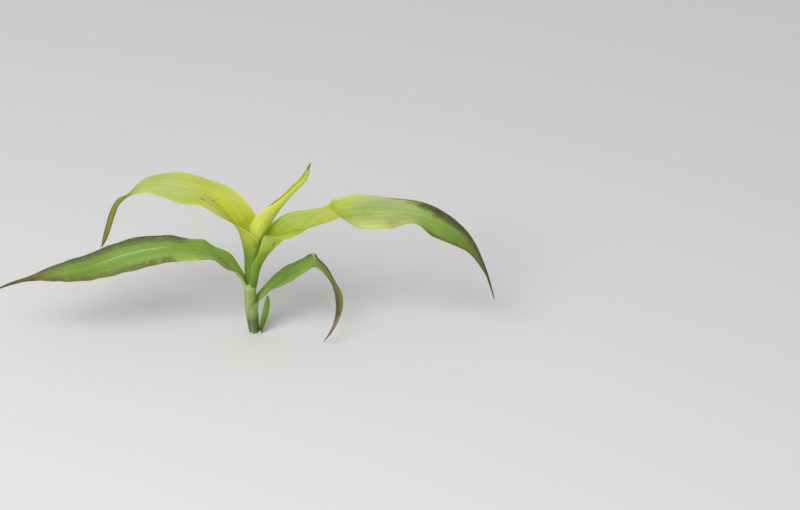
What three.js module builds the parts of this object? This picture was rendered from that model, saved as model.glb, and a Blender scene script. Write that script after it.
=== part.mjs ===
// A young maize plant: a short stem inside nested leaf sheaths, five leaves in two ranks
// and the rolled sixth leaf. Millimetres, +Z up, ground at z = 0, the ranks lie along X.
import * as THREE from 'three';

// Driving dimensions, in mm
const SHEATH_WALL = 0.6;
const BLADE_WALL = 0.8;
const SEAM_GAP = 0.3;
const STEM_FOOT_RADIUS = 3.0;
const STEM_TOP_RADIUS = 2.2;
const STEM_HEIGHT = 52;
const STEM_BOW = 3.3;
const STEM_SIDES = 20;
const STEM_RINGS = 8;

// How finely a strip is cut: segments from the midrib to each margin, rings from row to row
const SHEATH_SEGMENTS = 6;
const BLADE_SEGMENTS = 4;
const SHEATH_RINGS_PER_ROW = 2;
const BLADE_RINGS_PER_ROW = 3;

// Share of a row over which the direction of the midrib is measured
const SLOPE_STEP = 0.02;

// Colours of the living and the withered parts
const SHEATH_GREEN = 0x9dbb5c;
const YOUNG_GREEN = 0xb6c43c;
const LEAF_GREEN = 0x86a83c;
const OLD_GREEN = 0x6f9a3a;
const DRY_BROWN = 0x8c7146;
const STEM_GREEN = 0xb4c877;
const STEM_ROUGHNESS = 0.6;
const SHEATH_ROUGHNESS = 0.55;
const BLADE_ROUGHNESS = 0.5;

// Each leaf is a strip from its foot in the stem to its tip. A row gives the place of the
// midrib (x, y, z), the half width, how far the half towards -Y and the half towards +Y lift
// from level where they leave the midrib, how far each of them turns on its way to the margin,
// and the twist of the whole row about the midrib. Angles are in degrees.
const LEAF_1 = {
  side: 1,
  rows: [
    [8.2, -1, 0, 4, 0, 0, 45, 45, 20],
    [10.4, -2, 12, 3.8, 0, 0, 30, 30, 50],
    [13.2, -3, 24, 3.7, 0, 5, 10, 10, 68],
    [15, -4, 35, 3.3, -10, 10, 0, 0, 70],
    [15.8, -5, 42.5, 2.3, -10, 10, 0, 0, 70],
    [16.2, -5.5, 47, 1.4, -10, 10, 0, 0, 70],
  ],
};
const LEAF_2 = {
  side: 1,
  rows: [
    [5.4, 0, 0, 9, 0, 0, 98, 98, 0],
    [5.2, 0, 17, 11.3, 0, 0, 98, 98, 0],
    [4.9, 0, 29, 11, 0, 0, 90, 90, 0],
    [6.8, -1, 38, 9.4, 0, 0, 60, 60, 0],
    [11.9, -2, 47, 7.2, 16, 26, 24, 24, 0],
    [21.1, -3, 57.4, 8.2, 12, 36, 8, 8, 0],
    [36, -6, 73.5, 11, -26, 24, -6, -6, 0],
    [51, -8, 84.1, 9.8, -26, 20, -6, -6, 0],
    [62.6, -9, 93.6, 9.4, -26, 14, -6, -6, 0],
    [68, -10.5, 91.4, 7.8, -24, 10, -6, -6, 0],
    [77, -10, 81, 6.6, -10, 16, 0, 0, 0],
    [85.4, -14, 68.1, 3.6, 0, 15, 0, 0, 20],
    [90.5, -19, 53.8, 5.8, 10, 20, 0, 0, 35],
    [90, -24, 37.4, 5.2, 10, 20, 5, 5, 40],
    [83, -28, 20, 3.8, 30, 30, 10, 10, 40],
    [75, -28, 4, 1.2, 50, 50, 20, 20, 40],
  ],
};
const LEAF_3 = {
  side: -1,
  rows: [
    [-4.2, 0, 0, 12.2, 0, 0, 164, 164, 0],
    [-6.8, 0, 17, 15.4, 0, 0, 164, 164, 0],
    [-8.2, 0, 34, 17, 0, 0, 164, 164, 0],
    [-8.9, 0, 50.5, 17, 0, 0, 156, 156, 0],
    [-9.8, 0, 56.5, 13.6, 0, 0, 108, 112, 0],
    [-13.2, -1, 65.5, 11.8, 0, 0, 85, 80, 0],
    [-19, -2, 75.5, 11, 12, 14, 50, 44, 0],
    [-27, -4, 86.5, 13.2, -2, 22, 12, 12, 0],
    [-39, -6, 97.5, 12.4, 0, 10, 5, 5, 0],
    [-50, -7.5, 102.5, 14.6, -6, 25, 0, 0, 0],
    [-62, -9, 106, 15.8, -18, 16, -8, -8, 0],
    [-90, -12, 110, 18, -34, 20, -8, -8, 0],
    [-128, -15, 104, 21, -32, 22, -8, -8, 0],
    [-167, -18, 91.4, 18.3, -26, 20, -6, -6, 0],
    [-200, -20, 85, 13.2, -22, 16, -4, -4, 0],
    [-229, -21, 76, 5.6, 10, 30, 10, 10, 0],
    [-255, -22, 69, 2.6, 50, 50, 30, 30, 0],
    [-279, -22, 58, 1, 50, 50, 30, 30, 0],
  ],
};
const LEAF_4 = {
  side: 1,
  rows: [
    [1, 0, 42, 7.8, 0, 0, 98, 98, 0],
    [2, 0, 53, 8.6, 0, 0, 98, 98, 0],
    [4.4, 0, 62, 10.5, 0, 0, 98, 98, 0],
    [6.6, 0, 71, 13, 0, 0, 100, 100, 0],
    [10.4, 0, 82, 17, 0, 0, 104, 102, 0],
    [17.8, -1, 95, 20.4, 10, 12, 82, 78, 0],
    [31, -3, 110, 22.5, 78, 62, -8, -20, 0],
    [44, -6, 124, 22, 64, 66, -104, -30, 0],
    [57, -9, 130, 21.5, 43, 48, -50, -20, 0],
    [67, -10.5, 134.2, 21, 40, 38, -20, -10, 0],
    [77, -12, 138.2, 20.5, 54, 29, 0, 0, 0],
    [86, -13.5, 142.6, 20.5, 60, 36, 0, 0, 0],
    [95, -15, 147, 21, 52, 56, 0, 0, 0],
    [116, -17, 155, 20.5, -28, 38, -8, -8, 0],
    [145, -19, 157, 20, -34, 20, -8, -8, 0],
    [171, -20, 154, 19, 2, 24, -8, -8, 0],
    [197, -20, 145, 18, -42, 20, -8, -8, 0],
    [217, -19, 131, 15.5, -40, 10, 0, 0, 0],
    [231, -18, 113.5, 9.6, -24, 18, -4, 0, 0],
    [243, -17, 87, 5, 0, 22, -5, 10, 0],
    [255, -16, 49, 1.2, 50, 50, 30, 30, 0],
  ],
};
const LEAF_5 = {
  side: -1,
  rows: [
    [-7.5, 0, 57, 12.8, 0, 0, 156, 156, 0],
    [-7.3, 0, 74, 15, 0, 0, 155, 155, 0],
    [-7.4, 0, 90, 19.5, 0, 0, 146, 144, 0],
    [-8.6, 0, 103, 24.5, 0, 0, 138, 128, 0],
    [-11, 1, 113.5, 25, -2, 14, 120, 112, 0],
    [-16.5, 2, 129, 24.5, 4, 56, 50, 50, 0],
    [-29, 4, 148, 22.8, -8, 58, 14, 6, 0],
    [-48, 7, 163.5, 20.2, -14, 28, -8, -8, 0],
    [-71, 10, 170, 19, -36, 28, -8, -8, 0],
    [-94, 12, 172.5, 14.6, -32, 22, -8, -8, 0],
    [-112.5, 13, 169.5, 9.2, -26, 20, -8, -8, 0],
    [-129.3, 14, 156.8, 4.6, 0, 0, -4, -4, 2],
    [-138.6, 14, 149.2, 3.4, 5, 5, 10, 10, -40],
    [-144.9, 14, 136.4, 3.6, 5, 5, 15, 15, -58],
    [-149.4, 14, 122, 3.6, 5, 5, 15, 15, -58],
    [-154.3, 14, 106.3, 2.8, 5, 5, 15, 15, -58],
    [-158.4, 14, 95.3, 1.2, 20, 20, 20, 20, -58],
  ],
};
const LEAF_6 = {
  side: 1,
  rows: [
    [6.5, 1, 92, 9, 0, 0, 150, 160, 0],
    [10.5, 1, 108, 16.5, 0, 0, 134, 160, 0],
    [18.5, 1.6, 124, 20.5, 6, 10, 104, 172, 0],
    [27, 2.8, 140, 19.5, 12, 22, 88, 156, 0],
    [37, 4, 155, 12.4, 14, 30, 76, 140, 0],
    [48, 5, 168, 9.6, 12, 30, 60, 130, 0],
    [59.5, 6, 181, 8.6, 10, 30, 50, 120, 0],
    [63.5, 7, 200, 1.2, 24, 24, 50, 50, 0],
  ],
};

// Point t of a smooth curve through rows, t counted in rows from the first one
function between(rows, t) {
  const last = rows.length - 1;
  const i = Math.min(Math.floor(t), last - 1);
  const u = t - i;
  return rows[i].map((b, k) => {
    const c = rows[i + 1][k];
    const a = i > 0 ? rows[i - 1][k] : 2 * b - c;
    const d = i < last - 1 ? rows[i + 2][k] : 2 * c - b;
    return b + 0.5 * u * (c - a + u * (2 * a - 5 * b + 4 * c - d + u * (3 * (b - c) + d - a)));
  });
}

// Frame of the strip at t: the midrib point, the way across (w), the upper side (n)
function frameAt(leaf, t) {
  const last = leaf.rows.length - 1;
  const here = between(leaf.rows, t);
  const before = between(leaf.rows, Math.max(t - SLOPE_STEP, 0));
  const after = between(leaf.rows, Math.min(t + SLOPE_STEP, last));
  const point = new THREE.Vector3(here[0], here[1], here[2]);
  const along = new THREE.Vector3(after[0] - before[0], after[1] - before[1], after[2] - before[2]);
  along.normalize();
  const across = new THREE.Vector3(0, -leaf.side, 0);
  across.addScaledVector(along, -across.dot(along)).normalize();
  across.applyAxisAngle(along, THREE.MathUtils.degToRad(here[8]));
  const upper = new THREE.Vector3().crossVectors(across, along);
  const front = { lift: here[4], curl: here[6] };
  const back = { lift: here[5], curl: here[7] };
  const [near, far] = leaf.side > 0 ? [front, back] : [back, front];
  return { point, across, upper, half: here[3], near, far };
}

// Corners of one half of the section, from the midrib to the margin, as (w, n) pairs
function halfSection(half, { lift, curl }, segments) {
  const corners = [new THREE.Vector2(0, 0)];
  for (let k = 0; k < segments; k += 1) {
    const turn = THREE.MathUtils.degToRad(lift + curl * (k + 0.5) / segments);
    const step = new THREE.Vector2(Math.cos(turn), Math.sin(turn)).multiplyScalar(half / segments);
    corners.push(corners[k].clone().add(step));
  }
  return corners;
}

// Ring of the closed strip at t: upper corners from margin to margin, then the lower ones
function ringAt(leaf, t, segments, wall) {
  const { point, across, upper, half, near, far } = frameAt(leaf, t);
  const nearSide = halfSection(half, near, segments);
  const farSide = halfSection(half, far, segments).slice(1).reverse();
  const middle = farSide.map((c) => new THREE.Vector2(-c.x, c.y)).concat(nearSide);
  const top = [];
  const bottom = [];
  middle.forEach((corner, i) => {
    const previous = middle[Math.max(i - 1, 0)];
    const next = middle[Math.min(i + 1, middle.length - 1)];
    const run = next.clone().sub(previous).normalize();
    const offset = new THREE.Vector2(-run.y, run.x).multiplyScalar(wall / 2);
    for (const [list, sign] of [[top, 1], [bottom, -1]]) {
      const c = corner.clone().addScaledVector(offset, sign);
      list.push(point.clone().addScaledVector(across, c.x).addScaledVector(upper, c.y));
    }
  });
  return top.concat(bottom);
}

// Closed body through rings of equal length; ring[0..m-1] is the upper side
function strip(rings) {
  const count = rings[0].length;
  const m = count / 2;
  const edge = [];
  for (let i = 0; i < m; i += 1) {
    edge.push(i);
  }
  for (let i = count - 1; i >= m; i -= 1) {
    edge.push(i);
  }
  const triangles = [];
  const last = (rings.length - 1) * count;
  for (let r = 0; r < rings.length - 1; r += 1) {
    edge.forEach((a, k) => {
      const b = edge[(k + 1) % count];
      const low = r * count;
      const high = low + count;
      triangles.push(low + a, low + b, high + b, low + a, high + b, high + a);
    });
  }
  for (let i = 0; i < m - 1; i += 1) {
    const [a, b, c, d] = [i, i + 1, m + i + 1, m + i];
    triangles.push(a, d, c, a, c, b);
    triangles.push(last + a, last + b, last + c, last + a, last + c, last + d);
  }
  const geometry = new THREE.BufferGeometry();
  const places = rings.flat().flatMap((p) => [p.x, p.y, p.z]);
  geometry.setAttribute('position', new THREE.Float32BufferAttribute(places, 3));
  geometry.setIndex(triangles);
  geometry.computeVertexNormals();
  return geometry;
}

// Length of the midrib for one row at t, to turn the seam gap into a share of a row
function rowLength(leaf, t) {
  const from = Math.max(t - SLOPE_STEP, 0);
  const to = Math.min(t + SLOPE_STEP, leaf.rows.length - 1);
  const a = between(leaf.rows, from);
  const b = between(leaf.rows, to);
  return Math.hypot(b[0] - a[0], b[1] - a[1], b[2] - a[2]) / (to - from);
}

// The stretch of a leaf between two of its rows, with half a seam gap left at inner ends
function leafPiece(leaf, firstRow, lastRow, { segments, ringsPerRow, wall }) {
  const end = leaf.rows.length - 1;
  const from = firstRow > 0 ? firstRow + SEAM_GAP / rowLength(leaf, firstRow) : 0;
  const to = lastRow < end ? lastRow - SEAM_GAP / rowLength(leaf, lastRow) : end;
  const count = (lastRow - firstRow) * ringsPerRow;
  const rings = [];
  for (let r = 0; r <= count; r += 1) {
    rings.push(ringAt(leaf, from + (to - from) * r / count, segments, wall));
  }
  if (firstRow === 0 && leaf.rows[0][2] === 0) {
    rings[0].forEach((corner) => corner.setZ(0));
  }
  return strip(rings);
}

// The stem inside the sheaths: upright, bowed towards -X, tapering to a dome below the leaves
function stemCore() {
  const rings = [];
  for (let r = 0; r <= STEM_RINGS; r += 1) {
    const share = r / STEM_RINGS;
    const radius = THREE.MathUtils.lerp(STEM_FOOT_RADIUS, STEM_TOP_RADIUS, share);
    const shift = -STEM_BOW * Math.sin(share * Math.PI / 2);
    rings.push({ radius, shift, z: STEM_HEIGHT * share });
  }
  const places = [];
  for (const { radius, shift, z } of rings) {
    for (let k = 0; k < STEM_SIDES; k += 1) {
      const turn = 2 * Math.PI * k / STEM_SIDES;
      places.push(shift + radius * Math.cos(turn), radius * Math.sin(turn), z);
    }
  }
  const foot = places.length / 3;
  places.push(0, 0, 0, -STEM_BOW, 0, STEM_HEIGHT + STEM_TOP_RADIUS);
  const triangles = [];
  for (let k = 0; k < STEM_SIDES; k += 1) {
    const next = (k + 1) % STEM_SIDES;
    for (let r = 0; r < STEM_RINGS; r += 1) {
      const low = r * STEM_SIDES;
      const high = low + STEM_SIDES;
      triangles.push(low + k, low + next, high + next, low + k, high + next, high + k);
    }
    const top = STEM_RINGS * STEM_SIDES;
    triangles.push(foot, next, k, foot + 1, top + k, top + next);
  }
  const geometry = new THREE.BufferGeometry();
  geometry.setAttribute('position', new THREE.Float32BufferAttribute(places, 3));
  geometry.setIndex(triangles);
  geometry.computeVertexNormals();
  return geometry;
}

const group = new THREE.Group();

function addPiece(name, geometry, color, roughness) {
  const material = new THREE.MeshStandardMaterial({ color, roughness, metalness: 0 });
  const mesh = new THREE.Mesh(geometry, material);
  mesh.name = name;
  group.add(mesh);
}

addPiece('stem_core', stemCore(), STEM_GREEN, STEM_ROUGHNESS);

// Name of the piece, its leaf, its first and last row, and its colour
const SHEATHS = [
  ['leaf_2_sheath', LEAF_2, 0, 2, SHEATH_GREEN],
  ['leaf_3_sheath', LEAF_3, 0, 3, SHEATH_GREEN],
  ['leaf_4_sheath', LEAF_4, 0, 3, SHEATH_GREEN],
  ['leaf_5_sheath', LEAF_5, 0, 2, YOUNG_GREEN],
];
const BLADES = [
  ['leaf_1_blade', LEAF_1, 0, 5, OLD_GREEN],
  ['leaf_2_rise', LEAF_2, 2, 8, OLD_GREEN],
  ['leaf_2_hang', LEAF_2, 8, 15, DRY_BROWN],
  ['leaf_3_neck', LEAF_3, 3, 10, LEAF_GREEN],
  ['leaf_3_blade', LEAF_3, 10, 14, LEAF_GREEN],
  ['leaf_3_tip', LEAF_3, 14, 17, DRY_BROWN],
  ['leaf_4_base', LEAF_4, 3, 10, YOUNG_GREEN],
  ['leaf_4_blade', LEAF_4, 10, 16, LEAF_GREEN],
  ['leaf_4_tip', LEAF_4, 16, 20, DRY_BROWN],
  ['leaf_5_base', LEAF_5, 2, 6, YOUNG_GREEN],
  ['leaf_5_arch', LEAF_5, 6, 10, YOUNG_GREEN],
  ['leaf_5_tip', LEAF_5, 10, 16, DRY_BROWN],
  ['leaf_6_spindle', LEAF_6, 0, 7, YOUNG_GREEN],
];
const SHEATH_CUT = { segments: SHEATH_SEGMENTS, ringsPerRow: SHEATH_RINGS_PER_ROW, wall: SHEATH_WALL };
const BLADE_CUT = { segments: BLADE_SEGMENTS, ringsPerRow: BLADE_RINGS_PER_ROW, wall: BLADE_WALL };
for (const [name, leaf, first, last, color] of SHEATHS) {
  addPiece(name, leafPiece(leaf, first, last, SHEATH_CUT), color, SHEATH_ROUGHNESS);
}
for (const [name, leaf, first, last, color] of BLADES) {
  addPiece(name, leafPiece(leaf, first, last, BLADE_CUT), color, BLADE_ROUGHNESS);
}

export default group;
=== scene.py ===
"""Looks of a young maize plant: sheathed stem, five open leaves and a rolled sixth one."""
import math

import bmesh
import bpy
from bpy.props import FloatProperty, FloatVectorProperty, IntProperty, PointerProperty
from mathutils import Matrix, Vector


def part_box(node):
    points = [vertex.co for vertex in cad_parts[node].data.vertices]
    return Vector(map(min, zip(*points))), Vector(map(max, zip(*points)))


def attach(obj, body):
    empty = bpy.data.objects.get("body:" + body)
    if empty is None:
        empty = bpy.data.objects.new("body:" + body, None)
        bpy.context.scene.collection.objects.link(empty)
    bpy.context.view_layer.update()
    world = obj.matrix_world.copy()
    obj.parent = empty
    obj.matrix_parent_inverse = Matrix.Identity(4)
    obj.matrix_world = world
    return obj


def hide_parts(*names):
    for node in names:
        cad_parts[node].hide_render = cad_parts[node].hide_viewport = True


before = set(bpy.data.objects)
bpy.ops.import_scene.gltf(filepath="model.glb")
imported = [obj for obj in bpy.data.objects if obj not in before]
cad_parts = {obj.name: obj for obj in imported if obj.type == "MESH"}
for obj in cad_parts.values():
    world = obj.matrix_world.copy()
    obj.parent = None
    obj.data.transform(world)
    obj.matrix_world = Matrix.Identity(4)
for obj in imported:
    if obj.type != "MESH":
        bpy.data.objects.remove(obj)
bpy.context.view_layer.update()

bl_info = {
    "name": "Young maize plant",
    "version": (1, 0, 0),
    "blender": (4, 5, 0),
    "location": "3D View > Sidebar > Maize",
    "description": "Models the leaves and stem of a young maize plant round its frame",
    "category": "Add Mesh",
}

MM = 0.001

# The stem rises in equal steps, leans over on the way and swells at its knots.
STEM_RADIUS = 3.0 * MM
STEM_LEAN = -3.3 * MM
STEM_SIDES = 24
STEM_STEPS = 8
STEM_KNOTS = (2, 5)
KNOT_SWELL = 1.06
STEP_TAPER = 0.94
STEM_BEVEL = 0.4 * MM
STEM_SMOOTH_ANGLE = math.radians(40)

# Least half width of a leaf in mm. It is thickest along its rib and thins out over its margins,
# both in shares of the half width.
NARROWEST_HALF = 0.2
RIB_WIDTH = 0.12
RIB_FADE = 0.7
BLADE_SHARE = 0.5
MARGIN_WIDTH = 0.3
MARGIN_THINNING = 0.2
LEAF_SMOOTH_ANGLE = math.radians(50)

# Each press of the midrib's groove: half width in columns, share of the length and of the depth
GROOVE_PASSES = ((2.5, 0.95, 0.3), (1.5, 0.8, 0.35), (0.5, 0.7, 0.35))

# Finer waves that ride on those of a margin, measured against them
RIPPLE_HEIGHT = 0.5
RIPPLE_RATE = 1.7
RIPPLE_START = 0.3

# Patterns: mm from vein to vein, noise per metre, stripes from margin to margin
VEIN_SPACING = 2.8
CLOUD_SCALE = 45
WANDER_SCALE = 90
SPECK_SCALE = 420
BROAD_STRIPES = 12
FLECK_STRIPES = 42
NARROW_STRIPES = 60
FIBRE_SCALE = (1500, 1500, 60)

# How far the patterns lighten or darken a leaf, and how far they fray its bands
BROAD_CONTRAST = 2.2
NARROW_CONTRAST = 0.5
VEIN_CONTRAST = 0.2
VEIN_WANDER = 3.0
WANDER_FRAY = 0.4
STRIPE_FRAY = 0.9
FLECK_FRAY = 2.4

# In rows: how far a stretch fades out, colours wander, withering leads at the margins, and
# half the width of a line across the leaf
FADE_ROWS = 0.6
WANDER_ROWS = 0.6
WITHER_LEAD = 0.4
HALF_LINE = 0.05

# Stage in metres, and the camera's sensor in mm
FLOOR_SIZE = 60
LAMP_SIZE = 2.0
SENSOR_WIDTH = 36
VIEW_LIMIT = 100

# Each leaf is a strip from its foot in the stem to its tip. A row holds the midrib's x, y and z
# and the half width in mm, then in degrees the lift of the front half and of the back half,
# the curl of each on its way to the margin, and the twist of the row about the midrib.
LEAF_1_ROWS = [
    (8.2, -1, 0, 4, 0, 0, 45, 45, 20),
    (10.4, -2, 12, 3.8, 0, 0, 30, 30, 50),
    (13.2, -3, 24, 3.7, 0, 5, 10, 10, 68),
    (15, -4, 35, 3.3, -10, 10, 0, 0, 70),
    (15.8, -5, 42.5, 2.3, -10, 10, 0, 0, 70),
    (16.2, -5.5, 47, 0.5, -10, 10, 0, 0, 70),
]
LEAF_2_ROWS = [
    (5.4, 0, 0, 9, 0, 0, 98, 98, 0),
    (5.2, 0, 17, 11.3, 0, 0, 98, 98, 0),
    (4.9, 0, 29, 11, 0, 0, 90, 90, 0),
    (6.8, -1, 38, 9.4, 0, 0, 60, 60, 0),
    (11.9, -2, 47, 7.2, -12, 26, 24, 24, 0),
    (21.1, -3, 57.4, 8.2, 0, 36, 8, 8, 0),
    (36, -6, 73.5, 11, -26, 24, -6, -6, 0),
    (51, -8, 84.1, 9.8, -26, 20, -6, -6, 0),
    (64.2, -7.5, 92.8, 9.4, -26, 16, -6, -6, 0),
    (69, -8, 89.6, 7.8, -24, 10, -6, -6, 0),
    (77, -10, 81, 6.6, -10, 16, 0, 0, 0),
    (85.4, -14, 68.1, 3.6, 0, 15, 0, 0, 20),
    (90.5, -19, 53.8, 5.8, 10, 20, 0, 0, 35),
    (90, -24, 37.4, 5.2, 10, 20, 5, 5, 40),
    (83, -28, 20, 3.8, 30, 30, 10, 10, 40),
    (75, -28, 4, 0.5, 50, 50, 20, 20, 40),
]
LEAF_3_ROWS = [
    (-4.2, 0, 0, 12.2, 0, 0, 164, 164, 0),
    (-6.8, 0, 17, 15.4, 0, 0, 164, 164, 0),
    (-8.2, 0, 34, 17, 0, 0, 164, 164, 0),
    (-8.6, 0, 54, 17, 0, 0, 156, 156, 0),
    (-9.9, 0, 59.1, 8.6, 0, 0, 84, 88, 0),
    (-13, -1, 66.2, 8.6, 0, 0, 76, 72, 0),
    (-18.8, -2, 75.3, 10, 12, 14, 50, 44, 0),
    (-27, -4, 86.5, 13.2, -2, 22, 12, 12, 0),
    (-39, -6, 97.5, 12.4, 0, 10, 5, 5, 0),
    (-50, -7.5, 102.5, 14.6, -6, 25, 0, 0, 0),
    (-62, -9, 106, 15.8, -18, 16, -8, -8, 0),
    (-90, -12, 110, 18, -34, 20, -8, -8, 0),
    (-128, -15, 104, 21, -32, 22, -8, -8, 0),
    (-167, -18, 91.4, 18.3, -26, 20, -6, -6, 0),
    (-200, -20, 85, 13.2, -22, 16, -4, -4, 0),
    (-229, -21, 76, 5.6, 10, 30, 10, 10, 0),
    (-255, -22, 69, 2.6, 50, 50, 30, 30, 0),
    (-279, -22, 58, 0.5, 50, 50, 30, 30, 0),
]
LEAF_4_ROWS = [
    (2.4, 0, 42, 8.4, 0, 0, 98, 98, 0),
    (3.4, 0, 53, 9.4, 0, 0, 98, 98, 0),
    (5.4, 0, 62, 10.8, 0, 0, 96, 98, 0),
    (7, 0, 71, 12.4, 0, 0, 98, 98, 0),
    (10.4, 0, 82, 16, 0, 0, 100, 102, 0),
    (17.8, -1, 95, 17.4, 14, 14, 74, 80, 0),
    (31, -3, 110, 22, 74, 62, -8, -20, 0),
    (44, -6, 124, 22, 63, 66, -94, -30, 0),
    (57, -9, 130, 21.5, 43, 48, -50, -20, 0),
    (67, -10.5, 134.2, 21, 40, 38, -20, -10, 0),
    (77, -12, 138.2, 20.5, 54, 29, 0, 0, 0),
    (86, -13.5, 142.6, 20.5, 60, 36, 0, 0, 0),
    (95, -15, 147, 21, 52, 56, 0, 0, 0),
    (116, -17, 155, 20.5, -28, 38, -8, -8, 0),
    (145, -19, 157, 20, -34, 20, -8, -8, 0),
    (171, -20, 154, 19, 2, 24, -8, -8, 0),
    (197, -20, 145, 18, -42, 20, -8, -8, 0),
    (217, -19, 131, 15.5, -40, 10, 0, 0, 0),
    (231, -18, 113.5, 9.6, -24, 18, -4, 0, 0),
    (243, -17, 87, 5, 0, 22, -5, 10, 0),
    (255, -16, 49, 0.5, 50, 50, 30, 30, 0),
]
LEAF_5_ROWS = [
    (-7.5, 0, 57, 12.8, 0, 0, 156, 156, 0),
    (-7.3, 0, 74, 15, 0, 0, 155, 155, 0),
    (-7.4, 0, 90, 19.5, 0, 0, 146, 144, 0),
    (-8.6, 0, 103, 24.5, 0, 0, 138, 128, 0),
    (-11, 1, 113.5, 25, -2, 14, 120, 112, 0),
    (-16.5, 2, 129, 24.5, 4, 56, 50, 50, 0),
    (-29, 4, 148, 22.8, -8, 58, 14, 6, 0),
    (-48, 7, 163.5, 20.2, -14, 28, -8, -8, 0),
    (-71, 10, 170, 19, -36, 28, -8, -8, 0),
    (-94, 12, 172.5, 14.6, -32, 22, -8, -8, 0),
    (-112.5, 13, 169.5, 9.2, -26, 20, -8, -8, 0),
    (-129.3, 14, 156.8, 4.6, 0, 0, -4, -4, 2),
    (-138.6, 14, 149.2, 3.4, 5, 5, 10, 10, -40),
    (-144.9, 14, 136.4, 3.6, 5, 5, 15, 15, -58),
    (-149.4, 14, 122, 3.6, 5, 5, 15, 15, -58),
    (-154.3, 14, 106.3, 2.8, 5, 5, 15, 15, -58),
    (-158.4, 14, 95.3, 0.5, 20, 20, 20, 20, -58),
]
LEAF_6_ROWS = [
    (6.5, 1, 92, 9, 0, 0, 150, 160, 0),
    (10.5, 1, 108, 18, 4, 0, 128, 160, 0),
    (18.5, 1.6, 124, 23.5, 28, 14, 98, 165, 0),
    (27, 2.8, 140, 21, 24, 24, 88, 154, 0),
    (37, 4, 155, 12.4, 14, 30, 76, 140, 0),
    (48, 5, 168, 9.6, 12, 30, 60, 130, 0),
    (59.5, 6, 181, 8.6, 10, 30, 50, 120, 0),
    (63.5, 7, 200, 0.5, 24, 24, 50, 50, 0),
]

# Colours that the middle and the margins of a leaf share, each with its row
LEAF_2_SHEATH = ((0, "foot_green"), (1, "foot_green"), (1.8, "pale_green"))
# The lower left leaf's neck is brightened with painted light.
LEAF_3_SHEATH = (
    (0, "foot_green"), (0.8, "foot_green"), (1.6, "sheath_green"), (2.9, "sheath_green"),
    (3.4, "neck_lime_and_painted_light"), (4.8, "neck_lime_and_painted_light"),
)
LEAF_4_SHEATH = ((0, "stalk_green"), (1.2, "stalk_green"), (3.4, "throat_green"), (4.2, "throat_green"))
LEAF_5_SHEATH = (
    (0, "stalk_green"), (1.1, "stalk_green"), (1.7, "throat_green"), (3.3, "throat_green"),
    (4.3, "lime"),
)
LEAF_6_MARGIN = ((0, "lime"), (1.8, "newest_lime_and_painted_light"), (5.6, "newest_lime_and_painted_light"), (6.5, "yellow_green"))
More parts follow.
